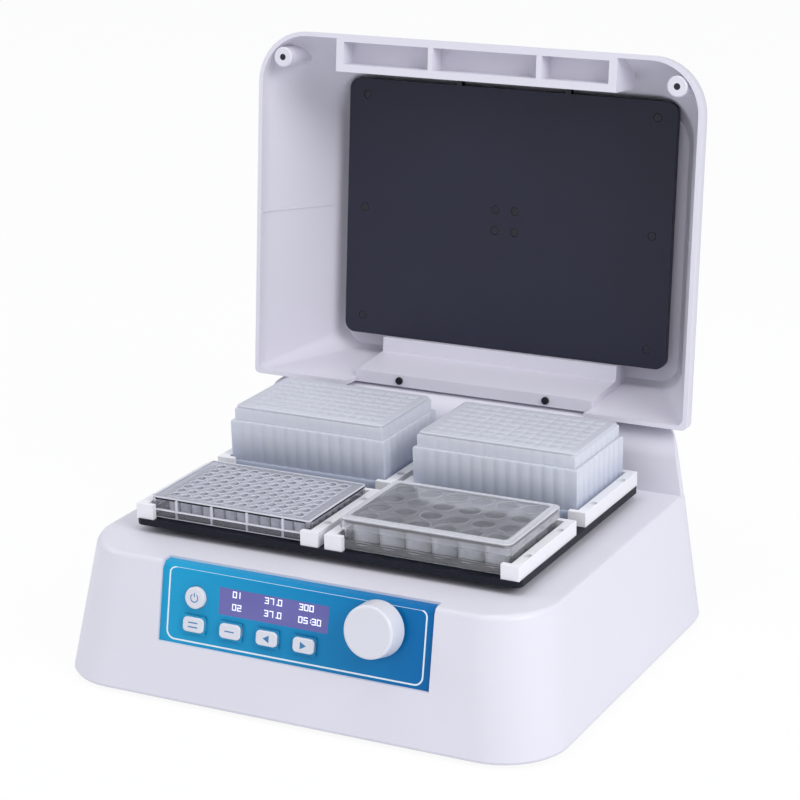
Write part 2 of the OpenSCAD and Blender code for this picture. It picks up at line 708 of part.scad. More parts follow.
module lid_heater() {
  color([0.13, 0.13, 0.18]) lid_place() difference() {
    rounded_plate(heat_x, heat_f, heat_b, heat_z, heat_t, 8);
    for (x = [-118, 118], y = [heat_f + 12, (heat_f + heat_b) / 2, heat_b - 14]) {
      translate([x, y, heat_z - 1]) cylinder(h = 9, d = 3.4, $fn = 24);
      translate([x, y, heat_z - 1]) cylinder(h = 2.6, d = 6.4, $fn = 24);
    }
    for (x = [-8, 8], y = [-14, 2]) translate([x, y, heat_z - 1]) {
      cylinder(h = 9, d = 3.4, $fn = 24);
      cylinder(h = 2.6, d = 6.4, $fn = 24);
    }
  }
}

module lid_insulation() {
  color([0.85, 0.82, 0.7]) lid_place() difference() {
    translate([-heat_x + 6, heat_f + 6, heat_z + heat_t]) cube([2 * heat_x - 12, heat_b - heat_f - 12, 6]);
    for (x = [-118, 118], y = [heat_f + 12, (heat_f + heat_b) / 2, heat_b - 14])
      translate([x, y, heat_z + heat_t - 1]) cylinder(h = 9, d = 10);
    for (x = [-8, 8], y = [-14, 2]) translate([x, y, heat_z + heat_t - 1]) cylinder(h = 9, d = 4.4, $fn = 24);
  }
}

module lid_screws() {
  color(black) lid_place() {
    for (x = [-118, 118], y = [heat_f + 12, (heat_f + heat_b) / 2, heat_b - 14])
      translate([x, y, heat_z + 1.6]) rotate([180, 0, 0]) screw(3.1, 6, 1.6, 13.5);
    for (x = [-8, 8], y = [-14, 2])
      translate([x, y, heat_z + 1.6]) rotate([180, 0, 0]) screw(3.1, 6, 1.6, 11);
    for (x = [-60, 60]) translate([x, lid_rear - 4.6, rim_z + 16.2]) rotate([180, 0, 0])
      screw(3.0, 5.6, 1.6, 12);
    for (s = [-1, 1]) translate([s * (lid_half - 20), lid_front + 20, rim_z + 1.4]) rotate([180, 0, 0])
      screw(3.0, 5, 1.4, 12);
  }
}

module lid_bumpers() {
  color([0.93, 0.93, 0.95]) lid_place() for (s = [-1, 1])
    translate([s * (lid_half - 20), lid_front + 20, rim_z]) difference() {
      cylinder(h = 2, r = 7.5);
      translate([0, 0, -1]) cylinder(h = 4, d = 3.4, $fn = 24);
      translate([0, 0, -1]) cylinder(h = 2.4, d = 5.4, $fn = 24);
    }
}

module hinge_cover() {
  color(ink) lid_place() difference() {
    translate([-97, lid_rear - 9, rim_z + 16]) cube([194, 8.8, 2.2]);
    for (x = [-60, 60]) translate([x, lid_rear - 4.6, rim_z]) {
      cylinder(h = 30, d = 3.4, $fn = 24);
      cylinder(h = 16.2, d = 6, $fn = 24);
    }
  }
}

module hinge_arms() {
  color(ink) lid_place() for (s = [-1, 1]) translate([s * arm_x - arm_w / 2, 0, 0]) difference() {
    union() {
      translate([0, lid_rear, hinge_z + seat_up]) cube([arm_w, 4, 27]);
      translate([0, lid_rear, hinge_z + seat_up]) cube([arm_w, hinge_y - lid_rear + 6, 5]);
      translate([0, hinge_y - 6, hinge_z]) cube([arm_w, 12, seat_up + 5]);
      translate([0, hinge_y, hinge_z]) rotate([0, 90, 0]) cylinder(h = arm_w, r = 8.5);
    }
    translate([-1, hinge_y, hinge_z]) rotate([0, 90, 0]) cylinder(h = arm_w + 2, r = pin_r + run, $fn = 40);
  }
}

module hinge_pins() {
  color(steel) frame() for (s = [-1, 1])
    translate([s * arm_x - 14.5, hinge_y, hinge_z]) rotate([0, 90, 0]) cylinder(h = 29, r = pin_r, $fn = 40);
}

module power_board() {
  color([0.15, 0.4, 0.2]) frame() {
    translate([-125, -60, foot_h + 2]) {
      for (x = [4, 86], y = [4, 66]) translate([x, y, 0]) cylinder(h = 8, d = 6);
      translate([0, 0, 8]) cube([90, 70, 1.6]);
      translate([10, 12, 9.6 - eps]) cube([26, 24, 20]);
      translate([46, 10, 9.6 - eps]) cube([20, 14, 16]);
      translate([52, 48, 9.6 - eps]) cylinder(h = 26, d = 16);
    }
  }
}

module mains_inlet() {
  color(black) frame() translate([-114, 0, 0]) difference() {
    union() {
      translate([-17.5, base_rear, 19]) cube([35, 2, 33]);
      translate([-15.8, base_rear - 24, 22.2]) cube([31.6, 24.1, 26.6]);
    }
    translate([-12, base_rear - 16, 25]) cube([24, 30, 15.4]);
    translate([-10.2, base_rear - 14, 41.7]) cube([20.4, 30, 6]);
  }
  color(steel) frame() translate([-114, 0, 0]) for (x = [-7, 0, 7])
    translate([x - 1, base_rear - 17, x == 0 ? 33.5 : 28.5]) cube([2, 14, 4.2]);
}

module fuse_drawer() {
  color([0.2, 0.2, 0.22]) frame() translate([-114, base_rear, 0]) {
    translate([-9.9, -13.5, 42]) cube([19.8, 15, 5.4]);
    translate([-10.5, 2.05, 41.6]) cube([21, 1.4, 6.2]);
    translate([-4, 1.4, 43]) cube([8, 1, 3.4]);
  }
}

module rocker() {
  color(black) frame() translate([-81, base_rear, 35.5]) {
    rotate([0, 90, 0]) translate([0, -3, -8.4]) cylinder(h = 16.8, r = 1.5, $fn = 32);
    translate([0, -3, 0]) rotate([8, 0, 0]) translate([-7, -3, -11]) cube([14, 6, 22]);
  }
}

module rocker_frame() {
  color([0.12, 0.12, 0.14]) frame() translate([-81, base_rear, 35.5]) difference() {
    union() {
      translate([-12.5, 0, -15]) cube([25, 1.6, 30]);
      translate([-10.8, -20, -13.3]) cube([21.6, 20.1, 26.6]);
    }
    translate([-7.6, -12, -12]) cube([15.2, 20, 24]);
    translate([-8.7, -3, 0]) rotate([0, 90, 0]) cylinder(h = 17.4, r = 1.5 + run, $fn = 32);
  }
}

casing();
bottom_plate();
feet();
base_screws();
panel_sheet();
display_window();
display_module();
control_board();
key_switches();
encoder_body();
key_round();
key_menu();
key_set();
key_left();
key_right();
encoder_shaft();
knob();
drive_plate();
standoffs();
motor();
motor_screws();
idler_bearings();
crank_hub();
crank_bearing();
idler_fl();
idler_fr();
idler_rl();
idler_rr();
tray();
heater_mat();
tray_pads();
rail_fl_left();
rail_fl_right();
rail_fr_left();
rail_fr_right();
rail_rl_left();
rail_rl_right();
rail_rr_left();
rail_rr_right();
rail_screws();
plate_96();
plate_24();
plate_24_lid();
deep_left();
mat_left();
deep_right();
mat_right();
lid_shell();
lid_heater();
lid_insulation();
lid_screws();
lid_bumpers();
hinge_cover();
hinge_arms();
hinge_pins();
power_board();
mains_inlet();
fuse_drawer();
rocker();
rocker_frame();
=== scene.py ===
"""Microplate shaker incubator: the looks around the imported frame, with the lid open at rest."""
import json
import math

import bmesh
import bpy
from mathutils import Matrix, Vector


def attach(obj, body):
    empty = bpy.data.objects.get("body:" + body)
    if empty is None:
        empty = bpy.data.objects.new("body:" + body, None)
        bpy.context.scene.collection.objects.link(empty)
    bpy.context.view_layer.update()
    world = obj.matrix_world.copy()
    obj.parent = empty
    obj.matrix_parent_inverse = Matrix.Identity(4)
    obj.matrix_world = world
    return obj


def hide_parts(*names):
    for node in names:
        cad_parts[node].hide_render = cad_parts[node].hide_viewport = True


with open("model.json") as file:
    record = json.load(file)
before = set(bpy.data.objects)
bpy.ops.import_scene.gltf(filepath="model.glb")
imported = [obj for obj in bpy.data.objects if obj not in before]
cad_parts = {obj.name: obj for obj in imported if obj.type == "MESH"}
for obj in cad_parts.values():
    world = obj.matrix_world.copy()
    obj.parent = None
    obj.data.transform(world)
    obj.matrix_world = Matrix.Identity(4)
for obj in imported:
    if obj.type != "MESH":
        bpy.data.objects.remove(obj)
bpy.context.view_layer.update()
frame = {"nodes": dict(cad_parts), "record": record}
NODES = frame["nodes"]
SLOT_OF = {s["node"]: s["material_slot"] for s in frame["record"]["subparts"]}
MM = 0.001

# sizes shared with the frame, in millimetres; the drawing's Y zero lies Y_MID in front of the frame's
Y_MID = 27.3
DECK_Z = 97.0
SEAT_Z = DECK_Z + 10.0

# plate nests
PLATE_L, PLATE_W = 127.76, 85.48
PAD_T = 1.2
PLATE_Z = SEAT_Z + PAD_T
MIDDLE_GAP = 5.2
RAIL_W = 7.2
POCKET_L = PLATE_L + 0.6
PLATE_X = MIDDLE_GAP / 2 + RAIL_W + POCKET_L / 2
RAIL_L = PLATE_W + 9
ROW_GAP = 15.5
PLATE_Y = ROW_GAP / 2 + RAIL_L / 2

# sloped front wall, and the panel recessed in it
FOOT_H = 3.0
FRONT_Y = -160.0
FRONT_RUN, FRONT_RISE = 18.0, 94.0
DRAFT = math.atan(FRONT_RUN / FRONT_RISE)
PANEL_X, PANEL_Z = 2.0, DECK_Z - 28.5
PANEL_Y = FRONT_Y + FRONT_RUN * (PANEL_Z - FOOT_H) / FRONT_RISE
PANEL_IN = 2.6
EDGE_V, EDGE_R = 22.2, 6.0

# keys, by the name of the frame's node: place along the panel and body
KEY_V = -11.5
KEYS = {
    "menu": (-75.0, "menu_key"),
    "set": (-46.6, "set_key"),
    "left": (-18.5, "down_key"),
    "right": (9.5, "up_key"),
}
POWER_U, POWER_V = -75.0, 7.0
KEY_TOP = 1.4

# lid, drawn closed
LID_OPEN = math.radians(95.25)
HINGE_Y, HINGE_Z = 141.0, DECK_Z + 26.2
RIM_Z = DECK_Z + 0.5
LID_FRONT, LID_HALF = -143.0, 176.0


def panel_point(p):
    """A point of the front panel: u right, v up the slope and over the front edge, w outwards."""
    u, v, w = p
    s, c = math.sin(DRAFT), math.cos(DRAFT)
    if v <= EDGE_V:
        y = PANEL_Y + v * s - w * c
        z = PANEL_Z + v * c + w * s
    else:
        quarter = math.pi / 2 - DRAFT
        a = DRAFT + min((v - EDGE_V) / EDGE_R, quarter)
        past = max(v - EDGE_V - quarter * EDGE_R, 0.0)
        r = EDGE_R + w
        y = PANEL_Y + EDGE_V * s + EDGE_R * c - r * math.cos(a) + past
        z = PANEL_Z + EDGE_V * c - EDGE_R * s + r * math.sin(a)
    return Vector((PANEL_X + u, y - Y_MID, z)) * MM


def lid_point(p):
    """A point of the lid, given with the lid closed, at its open place."""
    x, y, z = p
    dy, dz = y - HINGE_Y, z - HINGE_Z
    c, s = math.cos(LID_OPEN), math.sin(LID_OPEN)
    return Vector((x, HINGE_Y + dy * c + dz * s - Y_MID, HINGE_Z - dy * s + dz * c)) * MM


def at(x, y, z):
    """Places points that are given around a local origin."""
    return lambda p: Vector((p[0] + x, p[1] + y - Y_MID, p[2] + z)) * MM


# material nodes
def new_mat(name):
    m = bpy.data.materials.new(name)
    m.use_nodes = True
    nt = m.node_tree
    return m, nt, nt.nodes["Principled BSDF"], nt.nodes.new("ShaderNodeTexCoord").outputs["Object"]


def link(nt, a, b):
    nt.links.new(a, b)


def noise(nt, co, scale, detail=3.0):
    n = nt.nodes.new("ShaderNodeTexNoise")
    n.inputs["Scale"].default_value = scale
    n.inputs["Detail"].default_value = detail
    link(nt, co, n.inputs["Vector"])
    return n.outputs["Fac"]


def ramp(nt, fac, lo, hi, p0=0.3, p1=0.7):
    r = nt.nodes.new("ShaderNodeValToRGB")
    for element, position, colour in zip(r.color_ramp.elements, (p0, p1), (lo, hi)):
        element.position = position
        element.color = (*colour, 1)
    link(nt, fac, r.inputs["Fac"])
    return r.outputs["Color"]


def span(nt, fac, lo, hi):
    r = nt.nodes.new("ShaderNodeMapRange")
    r.inputs["To Min"].default_value = lo
    r.inputs["To Max"].default_value = hi
    link(nt, fac, r.inputs["Value"])
    return r.outputs["Result"]


def along(nt, co, axis, start, end):
    """Grows from 0 to 1 between two places on an axis, in metres."""
    sep = nt.nodes.new("ShaderNodeSeparateXYZ")
    link(nt, co, sep.inputs["Vector"])
    r = nt.nodes.new("ShaderNodeMapRange")
    r.inputs["From Min"].default_value = start
    r.inputs["From Max"].default_value = end
    link(nt, sep.outputs[axis], r.inputs["Value"])
    return r.outputs["Result"]


def bump(nt, bsdf, fac, dist):
    b = nt.nodes.new("ShaderNodeBump")
    b.inputs["Distance"].default_value = dist
    link(nt, fac, b.inputs["Height"])
    link(nt, b.outputs["Normal"], bsdf.inputs["Normal"])


def darker(col, share):
    return tuple(c * (1 - share) for c in col)


# kinds of material
def plastic(name, col, rough=0.4, vary=0.03, grain=900.0, depth=0.00004, coat=0.0, spec=0.5):
    m, nt, b, co = new_mat(name)
    link(nt, ramp(nt, noise(nt, co, 9.0, 4.0), darker(col, vary), col), b.inputs["Base Color"])
    link(nt, span(nt, noise(nt, co, 60.0, 4.0), rough - 0.05, rough + 0.06), b.inputs["Roughness"])
    bump(nt, b, noise(nt, co, grain, 2.0), depth)
    b.inputs["IOR"].default_value = 1.48
    b.inputs["Specular IOR Level"].default_value = spec
    b.inputs["Coat Weight"].default_value = coat
    b.inputs["Coat Roughness"].default_value = 0.12
    return m


def metal(name, col, rough=0.3, stretch=(1, 1, 1), scale=300.0, metallic=1.0):
    m, nt, b, co = new_mat(name)
    mp = nt.nodes.new("ShaderNodeMapping")
    mp.inputs["Scale"].default_value = stretch
    link(nt, co, mp.inputs["Vector"])
    fine = noise(nt, mp.outputs["Vector"], scale, 5.0)
    link(nt, ramp(nt, noise(nt, co, 40.0, 5.0), darker(col, 0.14), col), b.inputs["Base Color"])
    link(nt, span(nt, fine, rough - 0.08, rough + 0.12), b.inputs["Roughness"])
    bump(nt, b, fine, 0.00002)
    b.inputs["Metallic"].default_value = metallic
    return m


def clear(name, col, rough, trans, ior):
    m, nt, b, co = new_mat(name)
    link(nt, ramp(nt, noise(nt, co, 30.0), darker(col, 0.03), col), b.inputs["Base Color"])
    link(nt, span(nt, noise(nt, co, 120.0), rough - 0.02, rough + 0.05), b.inputs["Roughness"])
    bump(nt, b, noise(nt, co, 250.0, 2.0), 0.00002)
    b.inputs["Transmission Weight"].default_value = trans
    b.inputs["IOR"].default_value = ior
    return m


def frosted(name, top, low, z0, z1):
    """Translucent polypropylene, with painted shade making it bluer and darker towards the foot."""
    m, nt, b, co = new_mat(name)
    # painted shade: the colour darkens with falling height, towards the foot of the plate
    height = along(nt, co, "Z", z0, z1)
    mix = nt.nodes.new("ShaderNodeMath")
    mix.operation = "MULTIPLY_ADD"
    mix.inputs[1].default_value = 0.12
    link(nt, noise(nt, co, 40.0, 4.0), mix.inputs[0])
    link(nt, height, mix.inputs[2])
    link(nt, ramp(nt, mix.outputs["Value"], low, top, 0.1, 1.0), b.inputs["Base Color"])
    link(nt, span(nt, noise(nt, co, 200.0), 0.30, 0.42), b.inputs["Roughness"])
    bump(nt, b, noise(nt, co, 500.0, 2.0), 0.00003)
    b.inputs["Subsurface Weight"].default_value = 0.35
    b.inputs["Subsurface Radius"].default_value = (0.006, 0.007, 0.009)
    b.inputs["Subsurface Scale"].default_value = 0.6
    b.inputs["IOR"].default_value = 1.45
    return m


def panel_film():
    """Printed film, with painted shade that darkens it towards its right end."""
    m = plastic("panel_film", (0.010, 0.330, 0.580), 0.36, 0.05, 1500.0, 0.00001, spec=0.22)
    nt = m.node_tree
    co = nt.nodes.new("ShaderNodeTexCoord").outputs["Object"]
    # painted shade: the film's blue darkens from its left end to its right end, where the front face gets
    # less light
    shade_across = along(nt, co, "X", -0.1, 0.105)
    colour = ramp(nt, shade_across, (0.012, 0.34, 0.60), (0.000, 0.13, 0.38), 0.0, 1.0)
    link(nt, colour, nt.nodes["Principled BSDF"].inputs["Base Color"])
    return m


def display_glass():
    m, nt, b, co = new_mat("display_glass")
    link(nt, ramp(nt, noise(nt, co, 25.0), (0.09, 0.085, 0.30), (0.12, 0.115, 0.36)), b.inputs["Base Color"])
    link(nt, span(nt, noise(nt, co, 200.0), 0.08, 0.16), b.inputs["Roughness"])
    b.inputs["Emission Color"].default_value = (0.10, 0.09, 0.32, 1)
    b.inputs["Emission Strength"].default_value = 0.15
    b.inputs["Coat Weight"].default_value = 0.4
    return m


def display_segments():
    m, nt, b, co = new_mat("display_segments")
    link(nt, ramp(nt, noise(nt, co, 90.0), (0.72, 0.74, 0.9), (0.85, 0.88, 1.0)), b.inputs["Base Color"])
    b.inputs["Roughness"].default_value = 0.4
    b.inputs["Emission Color"].default_value = (0.78, 0.82, 1.0, 1)
    b.inputs["Emission Strength"].default_value = 0.45
    return m


# housing
CASE = plastic("case_plastic", (0.735, 0.722, 0.795), 0.38, 0.02, 1500.0, 0.00002)
LINER = plastic("lid_plastic", (0.735, 0.717, 0.795), 0.40, 0.02, 1500.0, 0.00002)
WHITE = plastic("white_plastic", (0.70, 0.71, 0.77), 0.30, 0.02, 1200.0, 0.00002, 0.15)
PLATEN = plastic("lid_plate_coat", (0.020, 0.021, 0.043), 0.42, 0.2, 1100.0, 0.00005, spec=0.4)
SCREW = metal("dark_screw", (0.05, 0.05, 0.06), 0.35, metallic=0.9)
# tray and plates
RAIL = plastic("rail_plastic", (0.88, 0.88, 0.91), 0.34, 0.02, 900.0, 0.00003)
TRAY = plastic("tray_anodised", (0.006, 0.008, 0.016), 0.45, 0.25, 1400.0, 0.00003, spec=0.25)
PS96 = clear("clear_polystyrene", (0.84, 0.85, 0.93), 0.10, 0.74, 1.45)
# painted highlight: the rims, tubes, posts and edges of the 96-well plate get a whiter, less clear plastic
# that stands in for their bright reflections
PS_RIM_PAINTED_HIGHLIGHT = clear("polystyrene_rims_painted_highlight", (0.84, 0.85, 0.93), 0.16, 0.22, 1.45)
PS_WALL = clear("polystyrene_wall", (0.88, 0.89, 0.95), 0.06, 0.93, 1.42)
PS24 = clear("clear_plate", (0.93, 0.94, 0.97), 0.05, 0.90, 1.42)
# painted highlight: the rims and edges of the 24-well plate and its cover get a whiter, less clear plastic
# that stands in for bright edge reflections
PS_EDGE_PAINTED_HIGHLIGHT = clear("plate_edges_painted_highlight", (0.88, 0.89, 0.95), 0.12, 0.38, 1.45)
# the low colour is painted shade at the plates' foot, between the rails over the black tray
FROST_TOP, FROST_SHADED_FOOT = (0.64, 0.66, 0.735), (0.37, 0.41, 0.54)
FROST = frosted("frosted_polypropylene", FROST_TOP, FROST_SHADED_FOOT, PLATE_Z * MM, (PLATE_Z + 30) * MM)
MAT = plastic("sealing_mat", (0.62, 0.635, 0.70), 0.5, 0.03, 700.0, 0.00004)
# panel
PANEL = panel_film()
INK = plastic("panel_ink", (0.80, 0.88, 0.93), 0.4, 0.02)
MARK = plastic("key_ink", (0.04, 0.20, 0.42), 0.4, 0.05)
WINDOW = display_glass()
GLOW = display_segments()

SLOT_MATS = {
    "housing": CASE,
    "white_plastic": WHITE,
    "rail_white": RAIL,
    "black_anodised": TRAY,
    "dark_metal": PLATEN,
    "panel": PANEL,
    "window": WINDOW,
    "clear": PS96,
    "frosted": FROST,
    "silicone": MAT,
    "black_plastic": plastic("black_plastic", (0.022, 0.022, 0.028), 0.42, 0.15),
    "rubber": plastic("rubber", (0.03, 0.03, 0.032), 0.75, 0.2, 500.0, 0.00006),
    "steel": metal("steel", (0.60, 0.61, 0.63), 0.30, (1, 1, 8)),
    "zinc": metal("zinc_steel", (0.58, 0.59, 0.60), 0.40, scale=60.0),
    "aluminium": metal("aluminium", (0.66, 0.67, 0.69), 0.34, (1, 9, 1)),
    "brass": metal("brass", (0.70, 0.52, 0.22), 0.28, scale=200.0),
    "board": plastic("circuit_board", (0.03, 0.16, 0.07), 0.45, 0.2, 700.0, 0.00006),
    "heater_film": plastic("heater_film", (0.48, 0.20, 0.04), 0.35, 0.1, 90.0, 0.00008),
    "foam": plastic("felt", (0.68, 0.62, 0.46), 0.9, 0.15, 300.0, 0.0003),
    "module": plastic("module_plastic", (0.05, 0.07, 0.07), 0.5),
}
NODE_MATS = {"lid_shell": LINER, "hinge_cover": LINER, "lid_screws": SCREW}

# bevel widths of the frame's nodes, in metres
RAIL_BEVEL = 0.0008
BEVELS = {
    "casing": 0.0008, "lid_shell": 0.0008, "hinge_cover": 0.0004, "hinge_arms": 0.0006,
    "lid_heater": 0.0008, "lid_screws": 0.0003, "tray": 0.0009, "tray_pads": 0.0003,
    "knob": 0.0006, "panel_sheet": 0.0001, "bottom_plate": 0.0003, "feet": 0.0004,
    "mains_inlet": 0.0005, "fuse_drawer": 0.0004, "rocker": 0.0008, "rocker_frame": 0.0005,
    "drive_plate": 0.0004, "motor": 0.0008, "power_board": 0.0004,
}
SHARP = math.radians(35)
FLAT = math.radians(0.6)
WELD = 0.00001


def dress(node, material, width):
    """Gives a node of the frame its material, and bevelled edges where a width is given."""
    node.data.materials.clear()
    node.data.materials.append(material)
    for p in node.data.polygons:
        p.use_smooth = True
        p.material_index = 0
    node.modifiers.new("weld", "WELD").merge_threshold = WELD
    if not width:
        node.modifiers.new("edges", "EDGE_SPLIT").split_angle = SHARP
        return
    flat = node.modifiers.new("flat", "DECIMATE")
    flat.decimate_type = "DISSOLVE"
    flat.angle_limit = FLAT
    bevel = node.modifiers.new("bevel", "BEVEL")
    bevel.width = width
    bevel.segments = 3
    bevel.limit_method = "ANGLE"
    bevel.angle_limit = SHARP
    normals = node.modifiers.new("normals", "WEIGHTED_NORMAL")
    normals.weight = 90
    normals.mode = "FACE_AREA"


for name, node in NODES.items():
    is_rail = name.startswith("rail_") and name != "rail_screws"
    material = NODE_MATS.get(name, SLOT_MATS[SLOT_OF[name]])
    dress(node, material, RAIL_BEVEL if is_rail else BEVELS.get(name, 0.0))


class Mesh:
    """Collects vertices and faces, in millimetres; now is the material of the faces that follow."""

    def __init__(self):
        self.verts = []
        self.faces = []
        self.slots = []
        self.now = 0

    def add(self, pts):
        first = len(self.verts)
        self.verts += [tuple(p) for p in pts]
        return list(range(first, len(self.verts)))

    def face(self, ids):
        self.faces.append(tuple(ids))
        self.slots.append(self.now)

    def ring_faces(self, a, b):
        n = len(a)
        for i in range(n):
            j = (i + 1) % n
            self.face((a[i], a[j], b[j], b[i]))

    def loft(self, loops, cap0=True, cap1=True):
        ids = [self.add(loop) for loop in loops]
        for a, b in zip(ids, ids[1:]):
            self.ring_faces(a, b)
        if cap0:
            self.face(reversed(ids[0]))
        if cap1:
            self.face(ids[-1])
        return ids

    def make(self, name, materials, body, place, replaces=(), smooth=35.0):
        me = bpy.data.meshes.new(name)
        me.from_pydata([place(p) for p in self.verts], [], self.faces)
        for p, i in zip(me.polygons, self.slots):
            p.material_index = i
        bm = bmesh.new()
        bm.from_mesh(me)
        bmesh.ops.recalc_face_normals(bm, faces=bm.faces)
        bm.to_mesh(me)
        bm.free()
        for p in me.polygons:
            p.use_smooth = True
        for material in materials:
            me.materials.append(material)
        o = bpy.data.objects.new(name, me)
        bpy.context.scene.collection.objects.link(o)
        o.modifiers.new("edges", "EDGE_SPLIT").split_angle = math.radians(smooth)
        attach(o, body)
        if replaces:
            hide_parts(*replaces)


# outlines
def circle(x, y, r, z, n):
    turns = [2 * math.pi * i / n for i in range(n)]
    return [(x + r * math.cos(t), y + r * math.sin(t), z) for t in turns]


def rounded(hx, hy, r, z, n=6, cx=0.0, cy=0.0):
    """Rectangle of half sizes hx and hy with round corners of n steps each."""
    pts = []
    for qx, qy, start in ((1, 1, 0), (-1, 1, 90), (-1, -1, 180), (1, -1, 270)):
        for i in range(n + 1):
            t = math.radians(start + 90 * i / n)
            pts.append((cx + qx * (hx - r) + r * math.cos(t), cy + qy * (hy - r) + r * math.sin(t), z))
    return pts


def rectangle(x0, x1, y0, y1, z):
    return [(x0, y0, z), (x1, y0, z), (x1, y1, z), (x0, y1, z)]


def square_like(x, y, half, z, n):
    """n points on a square's outline, matching circle() point for point."""
    pts = []
    for i in range(n):
        t = 2 * math.pi * i / n
        c, s = math.cos(t), math.sin(t)
        k = half / max(abs(c), abs(s))
        pts.append((x + c * k, y + s * k, z))
    return pts


# microplates, 8 rows of 12 wells or 4 rows of 6
WELL_PITCH = 9.0
COLUMNS, ROWS = 12, 8
HALF_L, HALF_W = PLATE_L / 2, PLATE_W / 2


def well_deck(m, nx, ny, pitch, r, top, floor, rim, wall, n):
    """Top deck with open wells and raised rims, and the tube of each well below."""
    deck_t, taper = 1.1, 0.25
    edge, fillet = 0.3, 0.5
    for i in range(nx):
        for j in range(ny):
            x = (i - (nx - 1) / 2) * pitch
            y = (j - (ny - 1) / 2) * pitch
            square = m.add(square_like(x, y, pitch / 2, top, n))
            foot_out = m.add(circle(x, y, r + wall, top, n))
            rim_out = m.add(circle(x, y, r + wall * 0.8, top + rim, n))
            rim_in = m.add(circle(x, y, r + wall * 0.2, top + rim, n))
            mouth = m.add(circle(x, y, r, top + rim - edge, n))
            low = m.add(circle(x, y, r - taper, floor + fillet, n))
            bottom = m.add(circle(x, y, r - 0.8, floor, n))
            # slot 1 is the whiter plastic with painted highlight, for the rims and tubes
            m.now = 1
            m.ring_faces(foot_out, rim_out)
            m.ring_faces(rim_out, rim_in)
            m.ring_faces(rim_in, mouth)
            tube_top = m.add(circle(x, y, r + wall, top - deck_t, n))
            tube_end = m.add(circle(x, y, r + wall - taper, floor - 0.9, n))
            under = m.add(square_like(x, y, pitch / 2, top - deck_t, n))
            m.ring_faces(under, tube_top)
            m.ring_faces(tube_top, tube_end)
            m.face(tube_end)
            m.now = 0
            m.ring_faces(square, foot_out)
            m.ring_faces(mouth, low)
            m.ring_faces(low, bottom)
            m.face(bottom)


def frame_ring(m, hx, hy, r, ix, iy, z0, z1):
    """Flat ring between a rounded outline and a smaller square one."""
    outer = [rounded(hx, hy, r, z) for z in (z0, z1)]
    inner = [rounded(ix, iy, 0.4, z) for z in (z1, z0)]
    m.loft([*outer, *inner, outer[0]], False, False)


def skirt(m, hx, hy, r, z0, z1, t, shrink=0.0):
    """Hollow wall of thickness t from z0 to z1, whose upper outline may be smaller."""
    ux, uy = hx - shrink, hy - shrink
    ri = max(r - t, 0.3)
    m.loft([rounded(hx, hy, r, z0), rounded(ux, uy, r, z1), rounded(ux - t, uy - t, ri, z1),
            rounded(hx - t, hy - t, ri, z0), rounded(hx, hy, r, z0)], False, False)


def plate_96():
    top, foot = 13.6, 5.0
    hx, hy = HALF_L - 1.4, HALF_W - 1.4
    m = Mesh()
    well_deck(m, COLUMNS, ROWS, WELL_PITCH, 3.35, top, 3.2, 0.55, 0.62, 24)
    frame_ring(m, hx, hy, 3.2, COLUMNS * WELL_PITCH / 2, ROWS * WELL_PITCH / 2, top - 1.1, top)
    # the raised edge, ledges and posts take the painted-highlight plastic
    m.now = 1
    frame_ring(m, hx, hy, 3.2, hx - 1.1, hy - 1.1, top, top + 0.7)
    m.now = 2
    skirt(m, hx, hy, 3.2, foot + 0.2, top, 1.1)
    skirt(m, HALF_L, HALF_W, 3.6, 0.0, foot, 1.2)
    m.now = 1
    skirt(m, HALF_L, HALF_W, 3.6, foot, foot + 0.7, 2.3, 0.5)
    skirt(m, HALF_L + 0.05, HALF_W + 0.05, 3.6, 0.0, 0.5, 0.6)
    post_x, post_y, post_in = 0.8, 0.7, 0.9
    for x in (-42, -14, 14, 42):
        for y in (post_in - HALF_W, HALF_W - post_in):
            m.loft([rectangle(x - post_x, x + post_x, y - post_y, y + post_y, z) for z in (0.2, top - 0.2)])
    m.make("microplate_96_well", (PS96, PS_RIM_PAINTED_HIGHLIGHT, PS_WALL), "microplate_96",
           at(-PLATE_X, -PLATE_Y, PLATE_Z), ("plate_96",))


def plate_24():
    top, foot = 18.6, 4.6
    pitch = 19.3
    hx, hy = HALF_L - 2.6, HALF_W - 2.6
    m = Mesh()
    well_deck(m, 6, 4, pitch, 7.9, top, 2.6, 0.7, 0.8, 40)
    frame_ring(m, hx, hy, 4.0, 3 * pitch, 2 * pitch, top - 1.1, top)
    skirt(m, hx, hy, 4.0, foot + 0.8, top, 1.1)
    skirt(m, HALF_L, HALF_W, 4.2, 0.0, foot, 1.2)
    skirt(m, HALF_L, HALF_W, 4.2, foot, foot + 0.8, 3.6, 0.6)
    m.make("microplate_24_well", (PS24, PS_EDGE_PAINTED_HIGHLIGHT), "microplate_24",
           at(PLATE_X, -PLATE_Y, PLATE_Z), ("plate_24",))


def plate_24_cover():
    """Clear cover, whose profiles give inset from its outline, corner radius and height."""
    hx, hy = HALF_L - 1, HALF_W - 1
    foot = 13.2
    outside = ((0.0, 4, foot), (0.0, 4, 20.4), (0.6, 4, 21.0), (3.2, 3.6, 21.0), (3.5, 3.6, 21.9),
               (5.0, 3.0, 21.9), (5.3, 3.0, 21.3))
    inside = ((5.3, 3.0, 20.3), (1.2, 3.4, 20.1), (1.2, 3.4, foot))
    m = Mesh()
    outer = [m.add(rounded(hx - g, hy - g, r, z)) for g, r, z in outside]
    m.ring_faces(outer[0], outer[1])
    # the cover's raised rim takes the plastic with painted highlight
    m.now = 1
    for a, b in zip(outer[1:], outer[2:]):
        m.ring_faces(a, b)
    m.now = 0
    m.face(outer[-1])
    inner = m.loft([rounded(hx - g, hy - g, r, z) for g, r, z in inside], True, False)
    m.ring_faces(inner[-1], outer[0])
    m.make("microplate_24_cover", (PS24, PS_EDGE_PAINTED_HIGHLIGHT), "microplate_24_cover",
           at(PLATE_X, -PLATE_Y, PLATE_Z), ("plate_24_lid",))


